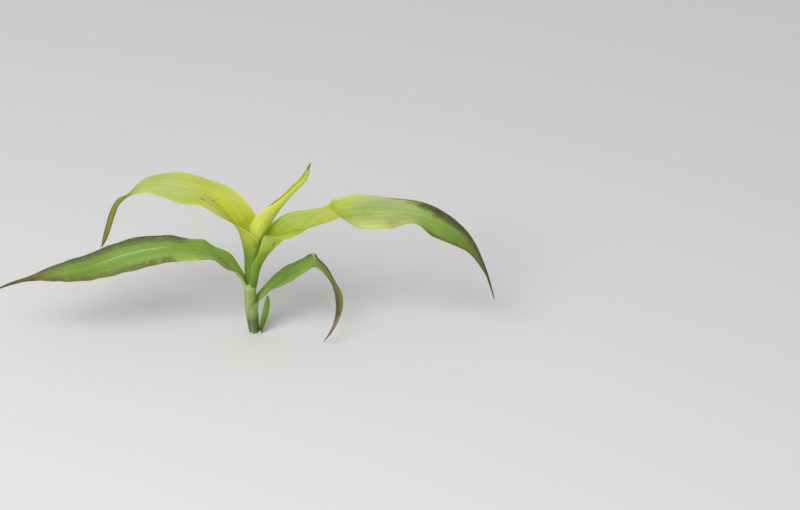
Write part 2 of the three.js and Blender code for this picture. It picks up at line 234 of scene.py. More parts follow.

# What else tells the leaves apart. Every stretch and place along a leaf is given in rows.
# side: 1 for a leaf that grows to the right, -1 for one that grows to the left
# replaces, slot: the frame's nodes that the leaf stands for, and its kind of blade, which picks the lime
# of its greener clouds
# waves: margin, first row, last row, rows per wave, height in degrees, phase in turns
# middle, front, back: the colours down the middle of the blade and towards its two margins
# under: first row, last row, strength and colour of what is laid over the underside: a paler tone on the
# three lower leaves, painted light on the shaded undersides of the three upper ones
# throat light: first row, last row and strength of the painted light that brightens the shaded inside of
# a throat
# bands: margin, first row, last row, share of the half width, colour, flecks, strength
# marks: row, place across from -1 at the back to 1 in front, length in rows, width, strength
# streaks: how much the lengthwise stripes stand out
# midrib: first and last row of its pale line, strength; the line is the pale midrib and, strongest on the
# lower left leaf, a painted highlight along it
# rim: strength of the pale line along the margins, partly the pale margin and partly a painted highlight
# on the edge
# dry: row where withering sets in, rows until it is complete, the two colours of the dead part
# collar: row of the pale line where the blade leaves its sheath
# crease: row where the blade is kinked, and how many rows the kink drifts from midrib to margin
PLAIN_LEAF = {"painted_throat_light": None, "bands": (), "marks": (), "collar": None, "crease": None}
LEAVES = {
    "leaf_1": {
        **PLAIN_LEAF,
        "side": 1,
        "rows": LEAF_1_ROWS,
        "replaces": ("leaf_1_blade",),
        "slot": "old_blade",
        "waves": (("front", 1, 5, 1.7, 5, 0.1), ("back", 1, 5, 2.1, 5, 0.5)),
        # Shade green and deep green at the foot of this leaf are painted shade near the ground.
        "middle": (
            (0, "shade_green"), (1.6, "deep_green"), (2.4, "old_green"), (4, "old_green"), (5, "olive"),
        ),
        "front": ((0, "shade_green"), (1.4, "shade_green"), (3, "deep_green"), (5, "olive")),
        "back": ((0, "deep_green"), (2, "leaf_green"), (4, "pale_green"), (5, "olive")),
        "under": ((1, 5, 0.3, "leaf_lime"),),
        "streaks": 0.2,
        "midrib": (1, 5, 0.2),
        "rim": 0.2,
        "dry": (4.8, 0.4, "dead_brown", "rust"),
    },
    "leaf_2": {
        **PLAIN_LEAF,
        "side": 1,
        "rows": LEAF_2_ROWS,
        "replaces": ("leaf_2_sheath", "leaf_2_rise", "leaf_2_hang"),
        "slot": "old_blade",
        "waves": (("front", 4, 8, 0.9, 7, 0.2), ("back", 4, 9, 0.8, 5, 0.6)),
        # Leaf lime at row 3.3 is painted light on the shaded neck.
        "middle": (
            *LEAF_2_SHEATH, (2.6, "pale_green"), (3.3, "leaf_lime"), (4.8, "old_green"),
            (6, "deep_green"), (7, "old_green"), (8.2, "leaf_green"), (9, "leaf_green"),
            (10.6, "grey_olive"), (11.6, "olive"), (13, "dusk_brown"),
        ),
        "front": (
            *LEAF_2_SHEATH, (2.6, "sheath_green"), (4, "leaf_green"), (8.3, "leaf_green"),
            (9.4, "fresh_green"), (11, "olive"), (12, "dusk_brown"), (14, "blush"),
        ),
        "back": (
            *LEAF_2_SHEATH, (2.6, "sheath_green"), (4, "deep_green"), (8.3, "deep_green"),
            (9, "grey_olive"), (11, "olive"), (11.8, "tawny"), (12.8, "tawny"), (14, "dusk_brown"),
        ),
        "under": ((3.7, 15, 0.3, "leaf_lime"),),
        "bands": (
            ("front", -0.6, 2.3, 0.08, "pale_green", 0.0, 0.9),
            ("front", 4.3, 8.3, 0.1, "purple_brown", 0.8, 0.9),
            ("back", 4.2, 8.3, 0.1, "purple_brown", 0.3, 0.9),
            ("back", 6.0, 8.3, 0.24, "chilled_green", 0.4, 0.9),
            ("back", 8.2, 11.2, 0.6, "chilled_green", 0.3, 0.9),
            ("front", 10.2, 15, 0.85, "wine_brown", 0.5, 0.9),
            ("back", 10.2, 15, 0.16, "purple_brown", 0.3, 0.9),
        ),
        "streaks": 0.34,
        "midrib": (2, 8, 0.12),
        "rim": 0.2,
        "dry": (13.1, 0.7, "wine_brown", "husk"),
        "collar": 2.7,
        "crease": (8.45, 0.3),
    },
    "leaf_3": {
        **PLAIN_LEAF,
        "side": -1,
        "rows": LEAF_3_ROWS,
        "replaces": ("leaf_3_sheath", "leaf_3_neck", "leaf_3_blade", "leaf_3_tip"),
        "slot": "grown_blade",
        "waves": (("front", 9, 15.5, 0.62, 9, 0.1), ("back", 9, 15.5, 0.95, 5, 0.4)),
        "middle": (
            *LEAF_3_SHEATH, (6, "leaf_lime"), (7.2, "leaf_green"), (10, "leaf_green"),
            (12.2, "leaf_green"), (13, "old_green"), (14, "old_green"), (14.5, "olive"),
            (15, "dead_brown"),
        ),
        "front": (
            *LEAF_3_SHEATH, (6.4, "leaf_green"), (8.4, "fresh_green"), (10.2, "fresh_green"),
            (11, "old_green"), (12.6, "old_green"), (13.2, "deep_green"), (14.2, "shade_green"),
            (14.8, "olive"), (15.5, "dusk_brown"),
        ),
        "back": (
            (0, "foot_green"), (1.6, "sheath_green"), (2.9, "sheath_green"), (3.5, "leaf_green"),
            (8, "leaf_green"), (12, "leaf_green"), (14, "old_green"), (14.8, "olive"),
            (15.5, "dusk_brown"),
        ),
        "under": ((3.9, 17, 0.3, "leaf_lime"),),
        "bands": (
            ("front", 3.6, 9, 0.12, "purple_brown", 0.2, 0.9),
            ("back", 3.6, 9, 0.08, "purple_brown", 0.2, 0.9),
            ("back", 10.0, 15.5, 0.64, "chilled_green", 0.7, 0.85),
            ("back", 10.0, 15.5, 0.32, "purple_brown", 0.8, 0.85),
            ("back", 9.8, 15.5, 0.1, "dead_brown", 0.2, 0.9),
            ("front", 10.4, 14.6, 0.4, "purple_brown", 1.0, 0.75),
            ("front", 10.2, 15.5, 0.12, "dead_brown", 0.5, 0.8),
        ),
        "streaks": 0.42,
        # A strong midrib line: the pale midrib and a painted highlight along it.
        "midrib": (11.4, 12.5, 0.35),
        "rim": 0.3,
        "dry": (14.9, 0.9, "dead_brown", "rust"),
        "collar": 3.1,
    },
    "leaf_4": {
        **PLAIN_LEAF,
        "side": 1,
        "rows": LEAF_4_ROWS,
        "replaces": ("leaf_4_sheath", "leaf_4_base", "leaf_4_blade", "leaf_4_tip"),
        "slot": "grown_blade",
        "waves": (("front", 12, 18, 1.7, 3, 0.3), ("back", 12, 18, 2.1, 3, 0.7)),
        "middle": (
            *LEAF_4_SHEATH, (5, "young_green"), (8, "young_green"), (9.5, "soft_yellow"),
            (11.8, "soft_yellow"), (12.6, "leaf_lime"), (13.1, "fresh_green"), (13.7, "pale_green"),
            (14.9, "pale_green"), (15.6, "fresh_green"), (16.3, "leaf_green"), (17.2, "old_green"),
            (18, "deep_green"), (19, "olive"),
        ),
        "front": (
            *LEAF_4_SHEATH, (5.5, "young_green"), (7, "leaf_lime"), (8.4, "leaf_lime"),
            (10, "soft_yellow"), (12.3, "pale_lime"), (12.9, "cream"), (13.5, "pale_lime"),
            (14.1, "blush"), (14.9, "soft_lime"), (15.6, "leaf_green"), (17, "deep_green"),
            (18.4, "olive"),
        ),
        "back": (
            *LEAF_4_SHEATH, (5.5, "young_green"), (7, "leaf_lime"), (8.6, "soft_lime"),
            (10, "yellow_green"), (11, "soft_yellow"), (12, "soft_yellow"), (13, "pale_lime"),
            (13.7, "grey_lime"), (14.6, "grey_lime"), (15.4, "leaf_green"), (16, "olive"),
            (17, "deep_green"), (18.4, "olive"),
        ),
        # Painted light on the shaded underside of the neck and of the fold, and in the shaded inside of
        # the throat.
        "under": ((5.6, 7, 0.8, "neck_lime_and_painted_light"), (9.4, 12.4, 0.8, "newest_lime_and_painted_light")),
        "painted_throat_light": (2.6, 4.8, 0.6),
        "bands": (
            ("back", 13.7, 20, 0.14, "dusk_brown", 0.2, 0.8),
            ("back", 14.5, 20, 0.42, "rust", 0.7, 0.7),
            ("back", 14.8, 20, 0.6, "purple_brown", 0.6, 0.85),
            ("back", 15.4, 20, 1.0, "purple_brown", 0.7, 0.85),
            ("back", 15.1, 20, 0.4, "dead_brown", 0.4, 0.85),
            ("front", 15.2, 20, 0.22, "purple_brown", 0.4, 0.9),
        ),
        "marks": ((5.75, 0.28, 0.15, 0.05, 0.8),),
        "streaks": 0.26,
        "midrib": (13.5, 17, 0.1),
        "rim": 0.3,
        "dry": (18.6, 1.4, "dead_brown", "rust"),
    },
    "leaf_5": {
        **PLAIN_LEAF,
        "side": -1,
        "rows": LEAF_5_ROWS,
        "replaces": ("leaf_5_sheath", "leaf_5_base", "leaf_5_arch", "leaf_5_tip"),
        "slot": "young_blade",
        "waves": (("front", 6, 11, 1.3, 3, 0.5), ("back", 7, 11, 1.1, 2, 0.1)),
        "middle": (
            (0, "stalk_green"), (2.2, "stalk_green"), (3.3, "throat_green"), (4.2, "young_green"),
            (5, "lime"), (6.2, "lime"), (7.3, "yellow_green"), (8.4, "pale_lime"), (9.5, "soft_lime"),
            (10.3, "pale_green"), (11, "grey_olive"), (12, "tawny"), (14, "tawny"), (15, "rust"),
        ),
        "front": (
            *LEAF_5_SHEATH, (5.6, "yellow_green"), (6.3, "cream"), (6.9, "yellow_green"),
            (7.6, "leaf_lime"), (8.8, "soft_lime"), (10.2, "pale_lime"), (11.2, "olive"), (13, "rust"),
        ),
        "back": (
            *LEAF_5_SHEATH, (6.4, "yellow_green"), (8, "yellow_green"), (9, "soft_lime"),
            (10.2, "soft_lime"), (11.2, "grey_olive"), (13, "olive"),
        ),
        # Painted light on the shaded outside of the throat and along the arch's underside, and in the
        # shaded inside of the throat.
        "under": ((3.9, 4.6, 0.3, "throat_painted_light_lime"), (5, 10, 0.15, "yellow_green")),
        "painted_throat_light": (2.2, 4.3, 0.9),
        "bands": (
            # The bright front margin of the throat is painted light shining through it.
            ("front", 3.2, 6.6, 0.07, "newest_lime_and_painted_light", 0.0, 0.9),
            ("front", 10.9, 16, 0.4, "purple_brown", 0.2, 0.9),
            ("back", 11.4, 16, 0.3, "purple_brown", 0.2, 0.9),
        ),
        "marks": (
            (6.95, 0.45, 0.16, 0.05, 0.6),
            (6.55, 0.1, 0.07, 0.05, 0.6),
            (6.45, -0.06, 0.06, 0.04, 0.5),
        ),
        "streaks": 0.16,
        "midrib": (6, 10, 0.1),
        "rim": 0.35,
        "dry": (15.2, 1.2, "dead_brown", "rust"),
    },
    "leaf_6": {
        **PLAIN_LEAF,
        "side": 1,
        "rows": LEAF_6_ROWS,
        "replaces": ("leaf_6_spindle",),
        "slot": "young_blade",
        "waves": (),
        "middle": ((0, "lime"), (1.4, "newest_lime_and_painted_light"), (5.6, "newest_lime_and_painted_light"), (6.5, "yellow_green")),
        "front": LEAF_6_MARGIN,
        "back": LEAF_6_MARGIN,
        # Painted light on the rolled leaf's underside and in its shaded inside.
        "under": ((4, 7, 0.4, "painted_light_lime"),),
        "painted_throat_light": (2.2, 4.2, 0.9),
        "streaks": 0.16,
        "midrib": (1, 6, 0.1),
        "rim": 0.3,
        "dry": (6.95, 0.12, "dead_brown", "rust"),
    },
}
OPEN_LEAVES = ("leaf_1", "leaf_2", "leaf_3", "leaf_4", "leaf_5")


def srgb(red, green, blue):
    """A colour given as three numbers up to 255, as Blender's linear one."""
    shares = [part / 255 for part in (red, green, blue)]
    return tuple(s / 12.92 if s <= 0.04045 else ((s + 0.055) / 1.055) ** 2.4 for s in shares)


def tint(name, description, *rgb):
    """A colour property with its default."""
    return FloatVectorProperty(
        name=name, description=description, default=srgb(*rgb), size=3, min=0, max=1, subtype="COLOR"
    )


def length(name, description, default):
    """A length property in metres."""
    return FloatProperty(
        name=name, description=description, default=default, min=0, subtype="DISTANCE", unit="LENGTH"
    )


def point(name, description, default):
    """A place in metres."""
    return FloatVectorProperty(
        name=name, description=description, default=default, subtype="TRANSLATION", unit="LENGTH"
    )


class MaizeSizes(bpy.types.PropertyGroup):
    """Thickness and relief of the leaves, and how finely they are cut."""

    columns: IntProperty(
        name="Columns", description="Faces across a leaf before smoothing", default=12, min=4
    )
    rings: IntProperty(
        name="Rings per row", description="Faces from row to row before smoothing", default=8, min=1
    )
    smoothing: IntProperty(name="Smoothing", description="Rounds of subdivision", default=2, min=1, max=3)
    thickness: length("Leaf thickness", "Thickness of a leaf at its midrib", 0.7 * MM)
    vein_relief: length("Vein relief", "Height of the veins above the blade", 0.05 * MM)
    midrib_groove: length("Midrib groove", "Depth of the groove over the midrib", 0.35 * MM)


class MaizeColours(bpy.types.PropertyGroup):
    """Colours of the living and the withered parts, and of the light and shade painted on them."""

    foot_green: tint("Foot green", "Sheaths at the ground", 92, 116, 66)
    sheath_green: tint("Sheath green", "Old sheaths round the stem", 144, 168, 85)
    stalk_green: tint("Stalk green", "Young sheaths round the stem", 98, 128, 34)
    throat_green: tint("Throat green", "Where the young sheaths open", 122, 150, 44)
    young_green: tint("Young green", "Throats of the young leaves", 150, 166, 46)
    lime: tint("Lime", "Strongest yellow green of the young leaves", 178, 186, 54)
    # Bright lime is the newest leaf's own colour, and painted light on young margins and on the upper
    # right leaf's shaded underside.
    newest_lime_and_painted_light: tint("Bright lime", "Newest leaf and brightest margins", 204, 212, 88)
    # Sunlit lime is painted light, in the shaded insides of the throats and on the rolled leaf's
    # underside.
    painted_light_lime: tint("Sunlit lime", "Young leaf that the light shines through", 228, 234, 112)
    # Neck lime is the necks' lime, raised by painted light where they lie in shade.
    neck_lime_and_painted_light: tint("Neck lime", "Necks, where a blade leaves its sheath", 172, 196, 80)
    # Shaded lime is painted light on the shaded outside of the young leaf's throat.
    throat_painted_light_lime: tint("Shaded lime", "Outside of the young leaves' throat", 166, 180, 70)
    soft_yellow: tint("Soft yellow", "Yellow stretches of the upper right leaf", 160, 170, 62)
    yellow_green: tint("Yellow green", "Middle of the young leaves", 170, 176, 82)
    pale_lime: tint("Pale lime", "Palest stretches of the young leaves", 168, 176, 106)
    soft_lime: tint("Soft lime", "Paler margins of the young leaves", 158, 167, 94)
    leaf_lime: tint("Leaf lime", "Greener stretches of the young leaves", 148, 166, 76)
    fresh_green: tint("Fresh green", "Freshest green of the grown leaves", 135, 154, 78)
    pale_green: tint("Pale green", "Palest stretches of the grown leaves", 144, 163, 98)
    leaf_green: tint("Leaf green", "Middle of the grown leaves", 114, 142, 60)
    old_green: tint("Old green", "Oldest leaves", 102, 130, 50)
    # Deep green and shade green also paint the shade at the foot of the lowest leaf.
    deep_green: tint("Deep green", "Darkest stretches of the oldest leaves", 90, 116, 38)
    shade_green: tint("Shade green", "Darkest green towards the tips", 76, 100, 30)
    cream: tint("Cream", "Bleached margins", 184, 184, 124)
    blush: tint("Blush", "Margins that start to redden", 150, 143, 92)
    grey_lime: tint("Grey lime", "Leaf that turns grey", 160, 166, 122)
    grey_olive: tint("Grey olive", "Leaf that fades", 110, 122, 62)
    olive: tint("Olive", "Leaf about to wither", 114, 112, 50)
    tawny: tint("Tawny", "Middle of a withering tip", 130, 122, 36)
    rust: tint("Rust", "Freshly withered leaf", 112, 96, 44)
    dusk_brown: tint("Dusk brown", "Withered and purple leaf", 98, 82, 66)
    straw: tint("Straw", "Dry and bleached leaf", 186, 174, 124)
    husk: tint("Husk", "Dry end of the lower right leaf", 176, 154, 140)
    dead_brown: tint("Dead brown", "Dead leaf tips", 66, 52, 38)
    chilled_green: tint("Chilled green", "Chilled margins that are still green", 76, 88, 62)
    purple_brown: tint("Purple brown", "Chilled margins and marks", 80, 62, 46)
    wine_brown: tint("Wine brown", "Withering half of the lower right leaf", 116, 84, 76)
    # Midrib: pale midribs, collars and stem fibres, and the painted highlight along a midrib.
    midrib_pale: tint("Midrib", "Midribs and collars", 190, 202, 142)
    # Rim: pale margins, partly a painted highlight on the edge.
    pale_rim_and_painted_highlight: tint("Rim", "Thin pale line along the margins", 206, 210, 160)
    stem_green: tint("Stem green", "Stem inside the sheaths", 180, 200, 119)


class MaizeStage(bpy.types.PropertyGroup):
    """Camera, floor and light."""

    floor: tint("Floor", "Pale floor", 214, 212, 209)
    sky: tint("Sky", "Soft light from all round", 240, 244, 250)
    sky_strength: FloatProperty(
        name="Sky strength", description="Strength of the soft light", default=0.6, min=0
    )
    key_power: FloatProperty(
        name="Key light", description="Power of the large lamp", default=85, min=0, unit="POWER"
    )
    key_place: point("Key place", "Where the large lamp hangs", (-1.0, -2.0, 2.3))
    aim: point("Aim", "Point that the camera looks at", (0.1558, 0, 0.0937))
    distance: length("Camera distance", "From the camera to the point it looks at", 3.5)
    elevation: FloatProperty(
        name="Elevation",
        description="How far the camera looks down",
        default=math.radians(30),
        subtype="ANGLE",
        unit="ROTATION",
    )
    lens: FloatProperty(name="Lens", description="Focal length in mm", default=150, min=1, unit="CAMERA")


# Selecting and turning in edit mode


def pick(piece, indices):
    """Selects only these vertices of the piece in edit mode."""
    bpy.ops.mesh.select_all(action="DESELECT")
    shape = bmesh.from_edit_mesh(piece.data)
    shape.verts.ensure_lookup_table()
    for index in indices:
        shape.verts[index].select = True
    shape.select_flush_mode()


def place_of(piece, index):
    """Where a vertex is, in edit mode."""
    shape = bmesh.from_edit_mesh(piece.data)
    shape.verts.ensure_lookup_table()
    return shape.verts[index].co.copy()


def turn(angles, centre):
    """Turns the selection about X, then Y, then Z, counter-clockwise seen against the axis."""
    for axis, angle in zip("XYZ", angles):
        if not math.isclose(angle, 0, abs_tol=1e-6):
            bpy.ops.transform.rotate(
                value=-angle, orient_axis=axis, orient_type="GLOBAL", center_override=centre
            )


def finish_modifier(piece, kind, **settings):
    """Adds a modifier with these settings and applies it."""
    modifier = piece.modifiers.new(kind.title(), kind)
    for name, value in settings.items():
        setattr(modifier, name, value)
    bpy.ops.object.modifier_apply(modifier=modifier.name)


# Shaping a leaf row by row


def between(rows, t):
    """The row at t on a smooth curve through all rows, t counted in rows."""
    last = len(rows) - 1
    i = min(int(t), last - 1)
    u = t - i
    values = []
    for k, b in enumerate(rows[i]):
        c = rows[i + 1][k]
        a = rows[i - 1][k] if i > 0 else 2 * b - c
        d = rows[i + 2][k] if i < last - 1 else 2 * c - b
        values.append(b + 0.5 * u * (c - a + u * (2 * a - 5 * b + 4 * c - d + u * (3 * (b - c) + d - a))))
    return values


def row_turn(leaf, t):
    """Turn of the row at t: its X axis across the leaf, its Y axis along it, its Z axis up."""
    rows = leaf["rows"]
    step = 0.02
    before = between(rows, max(t - step, 0))
    after = between(rows, min(t + step, len(rows) - 1))
    along = (Vector(after[:3]) - Vector(before[:3])).normalized()
    across = Vector((0, -leaf["side"], 0))
    across = (across - across.dot(along) * along).normalized()
    *_, twist = between(rows, t)
    across = Matrix.Rotation(math.radians(twist), 3, along) @ across
    upper = across.cross(along)
    return Matrix((across, along, upper)).transposed().to_euler("XYZ")


def wave_angle(leaf, margin, t):
    """How far the waves of a margin turn its outer faces at t, in degrees."""
    total = 0
    for edge, first, last, rows_per_wave, height, phase in leaf["waves"]:
        if edge == margin:
            fade = min(max(min(t - first, last - t), 0), 1)
            turns = (t - first) / rows_per_wave + phase
            finer_turns = RIPPLE_RATE * turns + RIPPLE_START
            total += fade * height * math.sin(math.tau * turns)
            total += RIPPLE_HEIGHT * fade * height * math.sin(math.tau * finer_turns)
    return total


def shape_ring(piece, leaf, ring, ring_count, columns):
    """Gives one ring of the flat grid its width, folds it along its columns and puts it in place."""
    t = (len(leaf["rows"]) - 1) * ring / ring_count
    x, y, z, half, front_lift, back_lift, front_curl, back_curl, _ = between(leaf["rows"], t)
    first = ring * (columns + 1)
    middle = columns // 2
    pick(piece, range(first, first + columns + 1))
    bpy.ops.transform.translate(value=(0, 1 - 2 * ring / ring_count, 0))
    bpy.ops.transform.resize(value=(max(half, NARROWEST_HALF) * MM, 1, 1), center_override=(0, 0, 0))
    halves = (
        ("front", leaf["side"], front_lift, front_curl),
        ("back", -leaf["side"], back_lift, back_curl),
    )
    for margin, way, lift, curl in halves:
        wave = wave_angle(leaf, margin, t)
        for k in range(middle):
            angle = curl / middle if k else lift + 0.5 * curl / middle
            if k >= middle / 2:
                angle += wave / (middle / 2)
            outer = [first + middle + way * c for c in range(k + 1, middle + 1)]
            pick(piece, outer)
            hinge = place_of(piece, first + middle + way * k)
            turn((0, -way * math.radians(angle), 0), hinge)
    pick(piece, range(first, first + columns + 1))
    turn(row_turn(leaf, t), (0, 0, 0))
    bpy.ops.transform.translate(value=(x * MM, y * MM, z * MM))


def leaf_places(piece):
    """For each vertex its place across the leaf, -1 to 1, and along it, 0 to 1."""
    places = [None] * len(piece.data.vertices)
    flat = piece.data.uv_layers.active.data
    for loop in piece.data.loops:
        u, v = flat[loop.index].uv
        places[loop.vertex_index] = (2 * u - 1, v)
    return places


def press(piece, indices, depth):
    """Moves the vertices along their normals, outwards when depth is above zero."""
    bpy.ops.object.mode_set(mode="EDIT")
    pick(piece, indices)
    bpy.ops.transform.shrink_fatten(value=depth)
    bpy.ops.object.mode_set(mode="OBJECT")


def raise_veins(piece, sizes):
    """Presses the midrib's groove into the blade and raises every second column as a vein."""
    places = leaf_places(piece)
    columns = sizes.columns * 2 ** sizes.smoothing
    veins = []
    for index, (across, _) in enumerate(places):
        column = round((across + 1) / 2 * columns)
        if column % 2 == 0 and 0 < column < columns and column != columns // 2:
            veins.append(index)
    press(piece, veins, sizes.vein_relief)
    for width, reach, share in GROOVE_PASSES:
        limit = 2 * width / columns
        groove = [i for i, (across, along) in enumerate(places) if abs(across) < limit and along < reach]
        press(piece, groove, -share * sizes.midrib_groove)


def thicken(piece, sizes):
    """Gives the blade its thickness: full at the midrib, half towards the margins."""
    group = piece.vertex_groups.new(name="thickness")
    for index, (across, along) in enumerate(leaf_places(piece)):
        rib = max(0, 1 - abs(across) / RIB_WIDTH) * (1 - RIB_FADE * along)
        margin = max(0, (abs(across) - (1 - MARGIN_WIDTH)) / MARGIN_WIDTH)
        blade = BLADE_SHARE - MARGIN_THINNING * margin
        group.add([index], max(rib, blade), "REPLACE")
    finish_modifier(
        piece,
        "SOLIDIFY",
        thickness=sizes.thickness,
        offset=0,
        vertex_group="thickness",
        use_even_offset=False,
        material_offset=1,
    )
    piece.vertex_groups.remove(piece.vertex_groups["thickness"])


def level_foot(piece):
    """Lifts whatever reaches below the ground up to it."""
    bpy.ops.object.mode_set(mode="EDIT")
    pick(piece, [vertex.index for vertex in piece.data.vertices if vertex.co.z < 0])
    bpy.ops.transform.resize(value=(1, 1, 0), center_override=(0, 0, 0))
    bpy.ops.object.mode_set(mode="OBJECT")


def model_leaf(name, scene):
    """Models one leaf from a flat grid, its upper finish first and its under finish second."""
    leaf = LEAVES[name]
    sizes = scene.maize_sizes
    ring_count = (len(leaf["rows"]) - 1) * sizes.rings
    bpy.ops.object.select_all(action="DESELECT")
    bpy.ops.mesh.primitive_grid_add(
        x_subdivisions=sizes.columns, y_subdivisions=ring_count, size=2, calc_uvs=True
    )
    piece = bpy.context.object
    piece.name = name
    piece.data.name = name
    for face, underside in (("_upper", False), ("_under", True)):
        piece.data.materials.append(leaf_material(name + face, leaf, scene.maize_colours, underside))
    bpy.ops.object.mode_set(mode="EDIT")
    bpy.ops.mesh.select_mode(type="VERT")
    for ring in range(ring_count + 1):
        shape_ring(piece, leaf, ring, ring_count, sizes.columns)
    bpy.ops.object.mode_set(mode="OBJECT")
    levels = sizes.smoothing
    finish_modifier(piece, "SUBSURF", levels=levels, render_levels=levels, uv_smooth="NONE")
    raise_veins(piece, sizes)
    thicken(piece, sizes)
    level_foot(piece)
    bpy.ops.object.shade_smooth_by_angle(angle=LEAF_SMOOTH_ANGLE)
    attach(piece, "root")
    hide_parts(*leaf["replaces"])


# Building a material from nodes


def feed(tree, socket, value):
    """Gives an input a number, a colour or another node's output."""
    if isinstance(value, bpy.types.NodeSocket):
        tree.links.new(value, socket)
    elif isinstance(value, tuple) and len(value) == 3 and socket.type == "RGBA":
        socket.default_value = (*value, 1)
    else:
        socket.default_value = value


def colour_of(colours, name):
    """One of the plant's colours, by its name."""
    return tuple(getattr(colours, name))


def maths(tree, operation, first, second=0.0, third=0.0):
    """What a Math node makes of its inputs."""
    node = tree.nodes.new("ShaderNodeMath")
    node.operation = operation
    for socket, value in zip(node.inputs, (first, second, third)):
        feed(tree, socket, value)
    return node.outputs[0]


def rest(tree, share):
    """What a share leaves of 1."""
    return maths(tree, "SUBTRACT", 1.0, share)


def smooth(tree, value, low, high):
    """Rises smoothly from 0 at low to 1 at high."""
    node = tree.nodes.new("ShaderNodeMapRange")
    node.interpolation_type = "SMOOTHSTEP"
    feed(tree, node.inputs["Value"], value)
    feed(tree, node.inputs["From Min"], low)
    feed(tree, node.inputs["From Max"], high)
    return node.outputs["Result"]


def stretch(tree, value, low, high):
    """Runs evenly from low to high as the value goes from 0 to 1."""
    return maths(tree, "MULTIPLY_ADD", value, high - low, low)


def mix_colour(tree, share, first, second, how="MIX"):
    """Mixes two colours through the colour sockets of a Mix node."""
    node = tree.nodes.new("ShaderNodeMix")
    node.data_type = "RGBA"
    node.blend_type = how
    feed(tree, node.inputs[0], share)
    feed(tree, node.inputs[6], first)
    feed(tree, node.inputs[7], second)
    return node.outputs[2]


def scaled(tree, place, scale, shift=(0, 0, 0)):
    """The place stretched along its axes."""
    node = tree.nodes.new("ShaderNodeMapping")
    feed(tree, node.inputs["Vector"], place)
    node.inputs["Scale"].default_value = scale
    node.inputs["Location"].default_value = shift
    return node.outputs["Vector"]


def noise(tree, place, scale, detail=3, roughness=0.5):
    """Cloudy noise from 0 to 1."""
    node = tree.nodes.new("ShaderNodeTexNoise")
    feed(tree, node.inputs["Vector"], place)
    node.inputs["Scale"].default_value = scale
    node.inputs["Detail"].default_value = detail
    node.inputs["Roughness"].default_value = roughness
    return node.outputs["Fac"]


def ramp(tree, share, stops):
    """A colour that runs through the stops, each a share and a colour."""
    node = tree.nodes.new("ShaderNodeValToRGB")
    feed(tree, node.inputs["Fac"], share)
    points = node.color_ramp.elements
    points.remove(points[1])
    points[0].position = stops[0][0]
    points[0].color = (*stops[0][1], 1)
    for position, colour in stops[1:]:
        point = points.new(position)
        point.color = (*colour, 1)
    return node.outputs["Color"]


def start_material(name):
    """An empty material with its Principled shader."""
    material = bpy.data.materials.new(name)
    material.use_nodes = True
    tree = material.node_tree
    return material, tree, tree.nodes["Principled BSDF"]


def window(tree, value, first, last, soft):
    """1 between first and last, falling to 0 over the soft stretch outside."""
    rise = smooth(tree, value, first - soft, first)
    fall = smooth(tree, value, last, last + soft)
    return maths(tree, "MULTIPLY", rise, rest(tree, fall))


def stripes(tree, flat, across, along, seed):
    """Noise drawn out along the leaf."""
    place = scaled(tree, flat, (across, along, 1), (seed, seed, 0))
    return noise(tree, place, 1.0, roughness=0.6)


def painted(tree, colour, share, strength, over):
    """The colour with another one laid over it where the share is high."""
    return mix_colour(tree, maths(tree, "MULTIPLY", share, strength), colour, over)


def blade_colour(tree, leaf, colours, places):
    """Living colour of a blade: its ramps, lengthwise stripes and greener clouds."""
    last = len(leaf["rows"]) - 1
    share = maths(tree, "DIVIDE", places["drift"], float(last))
    ramps = []
    for part in ("middle", "back", "front"):
        stops = [(row / last, colour_of(colours, name)) for row, name in leaf[part]]
        ramps.append(ramp(tree, share, stops))
    middle, back, front = ramps
    margins = mix_colour(tree, smooth(tree, places["fore"], -0.1, 0.1), back, front)
    colour = mix_colour(tree, smooth(tree, places["edge"], 0.1, 0.9), middle, margins)
    contrast = BROAD_CONTRAST * leaf["streaks"]
    stripe_tone = maths(tree, "MULTIPLY_ADD", places["broad"], contrast, 1 - contrast / 2)
    stripe_tone = maths(tree, "SUBTRACT", stripe_tone, NARROW_CONTRAST / 2)
    stripe_tone = maths(tree, "MULTIPLY_ADD", places["narrow"], NARROW_CONTRAST, stripe_tone)
    stripe_tone = maths(tree, "MULTIPLY_ADD", places["veins"], VEIN_CONTRAST * leaf["streaks"], stripe_tone)
    colour = mix_colour(tree, 1.0, colour, stripe_tone, "MULTIPLY")
    cloud = smooth(tree, noise(tree, places["spot"], CLOUD_SCALE), 0.45, 0.75)
    fresh = "lime" if leaf["slot"] == "young_blade" else "leaf_lime"
    return painted(tree, colour, cloud, 0.2, colour_of(colours, fresh))


